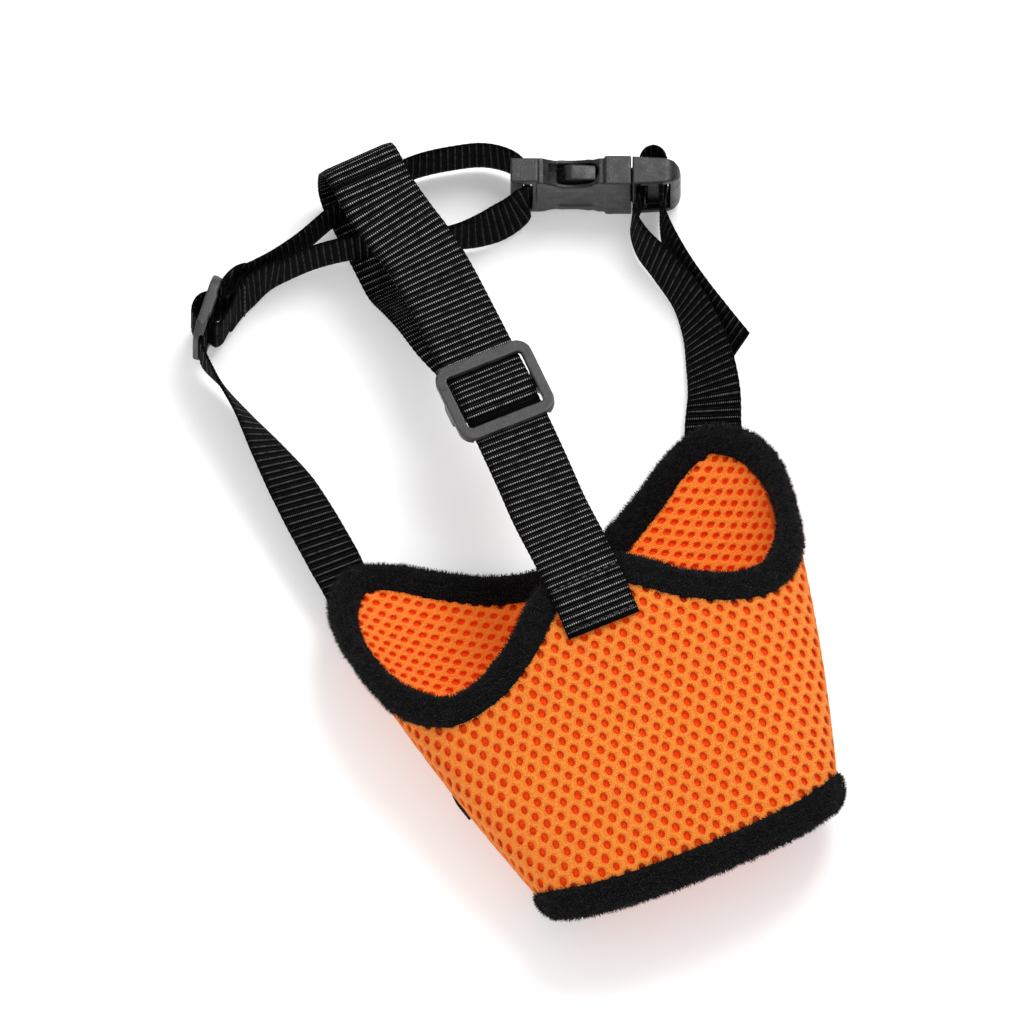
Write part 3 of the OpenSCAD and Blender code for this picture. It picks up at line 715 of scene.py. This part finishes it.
# ---------- webbing ----------
HEAD_X = np.array([1.0, 0.0, 0.0])
UP = np.array([0.0, 0.0, 1.0])
DOWN = -UP
LEAN_FAR = np.array([0.0, -0.26, -1.0])
LEAN_NEAR = np.array([-0.1, -0.2, -1.0])
HEAD_FOOT = np.array([2.0, 0, 48.5])
HEAD_DIR = np.array([0.045, 1.0, -0.15])
HEAD_BOW = 1.1
HEAD_SLIDER_Y = 52.0
SEWN_H = TAPE_T / 2 + GAP + WEB_T / 2
ON_MESH = MESH_T / 2 + WEB_T / 2 + 2 * GAP
BAR_MID = -(WEB_T + GAP) - WEB_T / 2 - GAP - 1
NECK_SLIDER_AT, NECK_YAW = np.array([-62.4, 124.5, 13.8]), math.radians(47)
BUCKLE_H = 26.0
BUCKLE_AT, BUCKLE_YAW = np.array([80, 108.7, BUCKLE_H / 2]), math.radians(-25.5)


def head_line(y):
    return HEAD_FOOT + y * HEAD_DIR


def head_run(y):
    """The strap's own line, which bows a little between the binding and the loop's top."""
    return head_line(y) - [HEAD_BOW * (y / HEAD_SLIDER_Y - 1) ** 2, 0, 0]


def from_head_slider(along, out):
    way = unit(HEAD_DIR)
    return head_line(HEAD_SLIDER_Y) + along * way + out * unit(np.cross(HEAD_X, way))


def yawed(at, yaw):
    """Turns along and out into a point, for a fitting that stands on its edge."""
    forward = np.array([math.cos(yaw), math.sin(yaw), 0])
    outward = np.array([-math.sin(yaw), math.cos(yaw), 0])
    return lambda along, out: at + along * forward + out * outward


from_neck_slider = yawed(NECK_SLIDER_AT, NECK_YAW)
from_buckle = yawed(BUCKLE_AT, BUCKLE_YAW)


def root_route(u):
    """Webbing sewn flat on the outside of the face binding."""
    width = unit(skin_mid(u - STEP, 1) - skin_mid(u + STEP, 1))
    return [(skin(u, v, SEWN_H), width) for v in (0.94, 0.975, 1.02)]


def on_head(points):
    return [(np.array(p, float), HEAD_X) for p in points]


def leaning(places):
    """Route points of webbing that leans its own way at each."""
    return [(p, unit(across)) for p, across in places]


def standing(points, across=DOWN):
    """Route points of webbing that stands on its edge."""
    return [(p, across) for p in points]


# Each route is a list of points with the direction across the webbing there.
HEAD_FRONT = on_head([
    skin(0.0, 0.81, ON_MESH), skin(0.0, 0.86, ON_MESH + 0.5),
    skin(0.0, 0.905, SEWN_H + 0.2), skin(0.0, 1.0, SEWN_H + 0.2),
    (0.9, -9, 50.7), *(head_run(y) for y in (5, 20, 40, 60, 80, 100)), (4.9, 112, 31.8), (3.2, 123, 31),
    (1.8, 133, 31.4), (1.6, 142, 31.9),
])
GLIDE_WRAP = [(2.5, -1.9), (-1.2, -2), (-2.9, -1), (-2.9, 0.9), (-1.2, 1.75), (2, 1.7)]
HEAD_RETURN = on_head([
    (1.6, 142.0, 31.9), (1.6, 147.4, 30.2), (1.4, 151.1, 24.5), (1.2, 152.1, 15.5), (1, 150.6, 6.2),
    (1, 146.6, 1.5), (1, 140.5, 0.85), (1, 132, 0.85), (1, 123, 0.85), (1, 115.4, 1), (1, 111.5, 3.4),
    (1.2, 104, 11), (1.5, 93, 20.8), (2, 80, 28.6), from_head_slider(14, -5.7), from_head_slider(8, -5.4),
    *(from_head_slider(a, BAR_MID + b) for a, b in GLIDE_WRAP),
    from_head_slider(8, -3.6), from_head_slider(14, -4.1),
])
OVER_NECK_BAR = [
    (-12, -0.35), (-7.8, -0.3), (-6.5, 0.75), (-5, 3), (-3, 5.2), (0, 6.1), (3, 5.2), (5, 3), (6.5, 0.75),
    (7.8, -0.3), (9.6, -0.44),
]
NECK_LOWER = [
    *root_route(0.655),
    *leaning([
        ((-62.2, 36, 9), (0.9, 0, -0.42)), ((-62.8, 48, 9.9), (0.9, 0, -0.44)),
        ((-63.5, 62, 10.4), (0.84, 0, -0.54)), ((-65, 76, 11), (0.66, 0, -0.75)),
        ((-66.8, 90, 11.8), (0.4, 0, -0.9)), ((-69.3, 104, 12.8), (0.2, 0, -0.97)),
    ]),
    *standing(from_neck_slider(a, b) for a, b in OVER_NECK_BAR),
]
NECK_UPPER = standing([
    *(from_neck_slider(a, b) for a, b in ((9.2, -0.41), (10.4, -0.5), (13.3, -1.5))),
    (-48.4, 134, 12.2), (-43, 134.3, 11.4), (-36, 135, 10.8), (-26, 136.6, 11.4), (-12, 140.5, 12.4),
    (4, 144, 12.5), (20, 144.7, 12), (33, 142, 12), (41.5, 138.9, 12.1), (47.2, 134.4, 12.4),
    (50.1, 129.9, 12.8), from_buckle(-33.4, 2.6), from_buckle(-33.2, 0.2),
])
ROUND_NECK_BAR = [
    (3.2, -5.7), (0, -5), (-3.3, -4.4), (-4.9, -2.9), (-4.2, -0.8), (-3, 0.8), (-1.2, 1.95), (1.4, 1.95),
    (3.3, 0.7), (4.5, -1.7), (6.4, -3.9),
]
NECK_BACK = [
    *standing([from_buckle(-33.2, 0.2), from_buckle(-33.4, -3.4)]),
    *standing([(45.6, 117.8, 12.8), (42, 116.5, 12.2), (36.6, 115.8, 11.8)], LEAN_FAR),
    ((29, 116, 11.6), np.array([0, -0.16, -1])),
    *standing([(18, 118, 12), (6, 121.8, 12.4), (-8, 127.2, 12.4), (-22, 130.4, 11.6), (-34, 130.8, 11)]),
    ((-40.6, 130.2, 11.6), np.array([-0.04, -0.08, -1])),
    *standing([(-47.3, 128.4, 12), (-53.4, 125.2, 12.8)], LEAN_NEAR),
    *standing(from_neck_slider(a, b) for a, b in ROUND_NECK_BAR),
    *standing([(-52.4, 127.6, 12.8), (-48.1, 129.9, 12)], LEAN_NEAR),
]
RIGHT_LEG = [
    *root_route(0.345),
    *leaning([
        ((73.4, 33, 9.6), (0.84, 0, 0.54)), ((77, 44, 10), (0.74, 0, 0.67)),
        ((79.4, 56, 10.4), (0.54, 0, 0.84)), ((79.6, 68, 10.8), (0.36, 0, 0.93)),
        ((77.2, 80, 11.2), (0.26, 0, 0.97)), ((74.8, 90, 11.7), (0.16, 0, 0.99)),
        ((75.6, 97.8, 12.2), (0.06, 0, 1)),
    ]),
    *standing([from_buckle(2.8, -5.6), from_buckle(3.8, 0)], UP),
]
ROUND_PLUG_BAR = [
    (3.8, 0), (2.9, 4.8), (4.3, 8.4), (7.3, 9.7), (10.1, 8.2), (11.3, 4.4), (10.5, 0), (9.8, -5.5),
]
RIGHT_TAIL = [
    *standing((from_buckle(a, b) for a, b in ROUND_PLUG_BAR), UP),
    *leaning([
        ((83.6, 91, 12), (0.1, 0, 1)), ((82.4, 78, 11.4), (0.24, 0, 0.97)), ((83, 66, 11), (0.34, 0, 0.94)),
        ((84.4, 55, 10.6), (0.42, 0, 0.9)), ((86.6, 43, 10.2), (0.46, 0, 0.88)),
    ]),
]
RING_STEP = RIB / 10
WEB_COLUMNS = 11  # points across each face
RIB_DEPTH, EDGE_DEPTH = 0.10, 0.06


def web_frames(route, step=RING_STEP):
    """Places a step apart along a route: how far along, where, and the directions across and out there."""
    line = smooth([np.array(p, float) for p, _ in route], 24)
    width = smooth([unit(w) for _, w in route], 24)
    run = np.concatenate([[0], np.cumsum(np.linalg.norm(np.diff(line, axis=0), axis=1))])
    at = np.arange(0, run[-1] + step / 2, step).clip(0, run[-1])
    middle = np.stack([np.interp(at, run, line[:, k]) for k in range(3)], 1)
    width = unit(np.stack([np.interp(at, run, width[:, k]) for k in range(3)], 1))
    along = unit(np.gradient(middle, axis=0))
    has_before = (np.arange(len(at)) > 0)[:, None]
    has_after = (np.arange(len(at)) < len(at) - 1)[:, None]
    for _ in range(3):  # takes out the small kinks between points
        along = unit(along + np.roll(along, 1, 0) * has_before + np.roll(along, -1, 0) * has_after)
    out = unit(np.cross(along, width))
    return at, middle, unit(np.cross(out, along)), out


def cap(base, row):
    """Quads that close one end of the webbing, between its two faces."""
    k = np.arange(WEB_COLUMNS - 1)
    return base + np.stack([k, k + 1, row - 2 - k, row - 1 - k], -1)


def web_light(at, side, plain_start, plain_end, bright):
    """How bright the dots' painted highlight shows: not so near the ends, and less at both edges."""
    lit = smoothstep(plain_start - 0.5, plain_start + 0.5, at) if plain_start else np.ones(len(at))
    if plain_end:
        lit = lit * (1 - smoothstep(at[-1] - plain_end - 0.5, at[-1] - plain_end + 0.5, at))
    return bright * lit[:, None] * np.where(np.abs(side) > 0.93, 0.4, 1.0)[None]


def web_mesh(route, width, plain_start=0.0, plain_end=0.0, bright=1.0):
    """Woven webbing: ribs across both faces and full edges."""
    at, middle, across, out = web_frames(route)
    side = np.concatenate([np.linspace(-1, 1, WEB_COLUMNS), np.linspace(1, -1, WEB_COLUMNS)])
    face = np.concatenate([np.full(WEB_COLUMNS, -1.0), np.full(WEB_COLUMNS, 1.0)])
    edge = np.abs(side) > 0.99
    rib = np.cos(2 * math.pi * at / (RIB / 2))
    thick = WEB_T / 2 - RIB_DEPTH + RIB_DEPTH * rib[:, None] * np.where(edge, 0.3, 1.0)[None]
    thick = thick * np.where(edge, 0.55, 1.0)[None]
    reach = width / 2 - EDGE_DEPTH + EDGE_DEPTH * np.cos(2 * math.pi * at / RIB)
    x = side[None] * reach[:, None] * np.where(edge, 1.0, 0.985)[None]
    points = middle[:, None] + x[..., None] * across[:, None] + (face[None] * thick)[..., None] * out[:, None]
    rows, row = len(at), len(side)
    quads = np.vstack([strip(rows, row, wrap_cols=True), cap(0, row)[:, ::-1], cap((rows - 1) * row, row)])
    uv = np.stack(np.broadcast_arrays(x, at[:, None]), -1).reshape(-1, 2)
    lit = web_light(at, side, plain_start, plain_end, bright)
    return new_mesh(points.reshape(-1, 3), quads[:, ::-1], uv=uv, values=lit.ravel())


def slider_hump():
    """The head strap over the slider's middle bar: it drops away steeply on the side towards the muzzle."""
    heights = (
        (-11.5, 0.04), (-9.6, 0.05), (-8, 0.06), (-6.3, 0.1), (-4.6, 0.9), (-3, 1.75), (-1, 1.95), (3, 1.6),
        (7, 0.7), (10.3, 0.05), (12, 0.04),
    )
    return on_head([from_head_slider(a, b) for a, b in heights])


def strap(name, route, width, stands_for=(), **look):
    return new_piece(name, web_mesh(route, width, **look), "webbing", stands_for)


head = strap("head_strap_front", HEAD_FRONT, HEAD_W, ["head_strap"], plain_start=1.6)
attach(head, "muzzle")
# No dots lit over the first 5.5 mm: painted shade where the strap dives under the bar towards the muzzle.
hump = strap("head_strap_over_bar", slider_hump(), HEAD_W, plain_start=5.5)
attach(hump, "head_slider")
head_back = strap("head_strap_back", HEAD_RETURN, HEAD_W, ["head_strap_return"], plain_end=1.5)
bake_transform(head_back)

SIDE_LIT, BACK_LIT = 0.3, 0.2  # webbing that stands on its edge catches less light on its dots
neck_lower = strap("neck_strap_left", NECK_LOWER, NECK_W, ["neck_strap"], bright=SIDE_LIT)
spot(from_neck_slider(-12, 0))
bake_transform(neck_lower)
neck_upper = strap("neck_strap_top", NECK_UPPER, NECK_W, ["neck_strap"], bright=SIDE_LIT)
spot(from_neck_slider(12, 0))
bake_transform(neck_upper)
neck_back = strap(
    "neck_strap_inner", NECK_BACK, NECK_W, ["neck_strap_return"], plain_end=1.5, bright=BACK_LIT
)
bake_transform(neck_back)

leg = strap("right_strap_leg", RIGHT_LEG, NECK_W, ["right_strap"], bright=SIDE_LIT)
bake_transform(leg)
tail = strap("right_strap_tail", RIGHT_TAIL, NECK_W, ["right_strap"], plain_end=1.2, bright=SIDE_LIT)
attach(tail, "plug")


# ---------- fittings ----------
BODY_OF = {n: b for b, names in frame["record"]["behaviour"]["bodies"].items() for n in names}
WELD = 0.002 * MM
KEPT_FACES = 0.3


def apply_modifiers(ob):
    """Makes the mesh that the object shows with its modifiers its own mesh."""
    graph = bpy.context.evaluated_depsgraph_get()
    mesh = bpy.data.meshes.new_from_object(ob.evaluated_get(graph))
    ob.modifiers.clear()
    ob.data = mesh


def moulding(node, slot, voxel_mm, rounds):
    """The CAD solid with its edges rounded as a mould leaves them."""
    solid = frame["nodes"][node]
    mesh = solid.data.copy()
    mesh.materials.clear()
    work = bmesh.new()
    work.from_mesh(mesh)
    bmesh.ops.remove_doubles(work, verts=work.verts, dist=WELD)
    work.to_mesh(mesh)
    work.free()
    ob = new_piece(f"{node}_moulding", mesh, slot, [node])
    remesh = ob.modifiers.new("even", "REMESH")
    remesh.mode = "VOXEL"
    remesh.voxel_size = voxel_mm * MM
    soften = ob.modifiers.new("soften", "SMOOTH")
    soften.iterations = rounds
    soften.factor = 0.5
    thin = ob.modifiers.new("thin", "DECIMATE")
    thin.ratio = KEPT_FACES
    apply_modifiers(ob)
    ob.data.materials.clear()
    ob.data.materials.append(MATERIALS[slot])
    ob.data.polygons.foreach_set("use_smooth", np.ones(len(ob.data.polygons), bool))
    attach(ob, BODY_OF[node])


# Each fitting's slot, the voxel its edges are rounded at, in millimetres, and the rounds of softening.
MOULDINGS = {
    "head_slider": ("slider_plastic", 0.22, 9),
    "neck_slider": ("slider_plastic", 0.22, 16),
    "buckle_socket": ("buckle_plastic", 0.24, 12),
    "buckle_plug": ("buckle_plastic", 0.22, 14),
    "upper_prong": ("buckle_plastic", 0.18, 24),
    "lower_prong": ("buckle_plastic", 0.18, 24),
}
for part, how in MOULDINGS.items():
    moulding(part, *how)


# ---------- stitches, tapes and tag ----------
def islands(mesh):
    """The points of each separate solid of a mesh, in metres."""
    work = bmesh.new()
    work.from_mesh(mesh)
    bmesh.ops.remove_doubles(work, verts=work.verts, dist=WELD)
    seen, found = set(), []
    for start in work.verts:
        if start in seen:
            continue
        group, todo = [], [start]
        seen.add(start)
        while todo:
            vert = todo.pop()
            group.append(vert.co[:])
            for e in vert.link_edges:
                other = e.other_vert(vert)
                if other not in seen:
                    seen.add(other)
                    todo.append(other)
        found.append(np.array(group))
    work.free()
    return found


THREAD_D = 0.6
TWIST = 1.6  # radians, from a stitch's middle to its end


def sewn(node):
    """Each straight CAD stitch as a plump twisted thread that thins at both ends."""
    rings, sides = 13, 8
    points, quads = [], []
    for group in islands(frame["nodes"][node].data):
        middle = group.mean(0)
        _, _, axes = np.linalg.svd(group - middle, full_matrices=False)
        way = axes[0]
        half = np.abs((group - middle) @ way).max()
        t = np.linspace(-1, 1, rings)
        fat = THREAD_D / 2 * MM * np.sqrt(np.clip(1 - 0.97 * t**4, 0, 1))
        side = unit(np.cross(way, [0.3, 0.2, 1.0]))
        other = np.cross(way, side)
        angle = np.linspace(0, 2 * math.pi, sides, endpoint=False)[None] + TWIST * t[:, None]
        lobe = 1 + 0.12 * np.cos(2 * (angle - 2 * TWIST * t[:, None]))
        ring = np.cos(angle)[..., None] * side + np.sin(angle)[..., None] * other
        body = middle + (t * half)[:, None, None] * way + (fat[:, None] * lobe)[..., None] * ring
        quads.append(strip(rings, sides, wrap_cols=True) + len(points) * rings * sides)
        points.append(body.reshape(-1, 3))
    mesh = new_mesh(np.vstack(points) / MM + CENTRE, np.vstack(quads)[:, ::-1])
    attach(new_piece(f"{node}_thread", mesh, "thread", [node]), BODY_OF[node])


for part in ("head_strap", "head_return", "neck_return", "left_root", "right_root"):
    sewn(f"{part}_stitches")


FACE_LENGTH = 420.0  # once round the face opening
TAPE_SWELL, RIPPLE, RIPPLE_LENGTH = 0.15, 0.05, 2.6


def taped(node, slot, across, inset, heights, nu, nv):
    """A closed strip of tape on the skin, a little fuller in its middle and rippled by its stitching.

    across is its u at both sides, inset how far it stays from the nose and face edges, and heights its foot
    and its top."""
    us = np.linspace(*across, nu)[:, None] * np.ones((1, nv))
    lengths = skin_length(us)
    low, high = heights
    vs = inset[0] / lengths + np.linspace(0, 1, nv)[None] * (1 - (inset[0] + inset[1]) / lengths)
    full = TAPE_SWELL * np.sin(np.linspace(0, math.pi, nu))[:, None]
    ripple = RIPPLE * np.sin(np.linspace(0, 1, nv)[None] * lengths * 2 * math.pi / RIPPLE_LENGTH)
    outer = skin(us, vs, high + (full + ripple) * np.sign(high - low)).reshape(-1, 3)
    inner = skin(us, vs, np.full_like(us, low)).reshape(-1, 3)
    quads = closed_sheet(nu, nv)
    if high < low:
        quads = quads[:, ::-1]
    flat = np.stack([(us - across[0]) * FACE_LENGTH, vs * lengths], -1).reshape(-1, 2)
    mesh = new_mesh(np.vstack([outer, inner]), quads, uv=np.vstack([flat, flat]))
    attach(new_piece(f"{node}_cloth", mesh, slot, [node]), "muzzle")


MESH_SKIN = MESH_T / 2 + GAP
SEAM_HALF_U = 0.006
SEAM_INSET = (TAPE_W / 2 + 1, TAPE_W / 2 + 7)
SEAM_HEIGHTS = (-MESH_SKIN + 0.1, -MESH_SKIN - 0.35)
for part, seam_u in (("left_seam", 1 - SEAM_U), ("right_seam", SEAM_U)):
    taped(part, "seam_tape", (seam_u - SEAM_HALF_U, seam_u + SEAM_HALF_U), SEAM_INSET, SEAM_HEIGHTS, 9, 240)
TAG_U = 1 - SEAM_U
TAG_FROM, TAG_TO = 38, 48  # along the seam, from the nose
tag_inset = (TAG_FROM, float(skin_length(TAG_U)) - TAG_TO)
taped("side_tag", "tag_cloth", (TAG_U - 0.002, TAG_U + 0.016), tag_inset, (MESH_SKIN, MESH_SKIN + 0.8), 9, 24)


# ---------- floor, light and camera ----------
FLOOR_HALF = 4.0
FLOOR_Z = -0.0002  # just clear of what lies on it
CAMERA_AWAY = 1.5


def floor(albedo, glow):
    """A pale floor. Its own glow lifts it to white round the object and keeps the shadows soft."""
    mesh = bpy.data.meshes.new("floor")
    corners = [(-1, -1), (1, -1), (1, 1), (-1, 1)]
    mesh.from_pydata([(FLOOR_HALF * x, FLOOR_HALF * y, 0) for x, y in corners], [], [(0, 1, 2, 3)])
    ob = bpy.data.objects.new("floor", mesh)
    ob.location.z = FLOOR_Z
    bpy.context.scene.collection.objects.link(ob)
    s = Shader("floor_white", roughness=0.9, specular=0.1)
    s.set("Emission Color", (1, 1, 1, 1))
    s.set("Emission Strength", glow)
    mesh.materials.append(s.finish((albedo, albedo, albedo, 1.0)))


def area_light(name, where, aim, size, power):
    lamp = bpy.data.lights.new(name, "AREA")
    lamp.size = size
    lamp.energy = power
    ob = bpy.data.objects.new(name, lamp)
    ob.location = where
    ob.rotation_mode = "QUATERNION"
    ob.rotation_quaternion = (Vector(aim) - Vector(where)).to_track_quat("-Z", "Y")
    bpy.context.scene.collection.objects.link(ob)


def world(strength):
    w = bpy.data.worlds.new("studio")
    w.use_nodes = True
    w.node_tree.nodes["Background"].inputs["Color"].default_value = (1, 1, 1, 1)
    w.node_tree.nodes["Background"].inputs["Strength"].default_value = strength
    bpy.context.scene.world = w


def camera(azimuth, elevation, aim_mm, width_mm):
    """A camera without perspective that sees width_mm across."""
    a, e = math.radians(azimuth), math.radians(elevation)
    back = Vector((math.sin(a) * math.cos(e), -math.cos(a) * math.cos(e), math.sin(e)))
    cam = bpy.data.cameras.new("camera")
    cam.type = "ORTHO"
    cam.ortho_scale = width_mm * MM
    cam.clip_end = 20
    ob = bpy.data.objects.new("camera", cam)
    ob.location = Vector(aim_mm) * MM + back * CAMERA_AWAY
    ob.rotation_mode = "QUATERNION"
    ob.rotation_quaternion = (-back).to_track_quat("-Z", "Y")
    bpy.context.scene.collection.objects.link(ob)
    bpy.context.scene.camera = ob


floor(albedo=0.8, glow=0.27)
world(strength=0.76)
area_light("key", where=(0.5, 0.4, 0.95), aim=(0, 0, 0), size=0.55, power=9.5)
area_light("front", where=(-0.5, -0.9, 0.5), aim=(0, 0, 0.02), size=0.7, power=3.5)
camera(azimuth=-25.5, elevation=68, aim_mm=(-11.65, 12.07, 5.8), width_mm=330.3)
bpy.context.scene.view_settings.view_transform = "Standard"
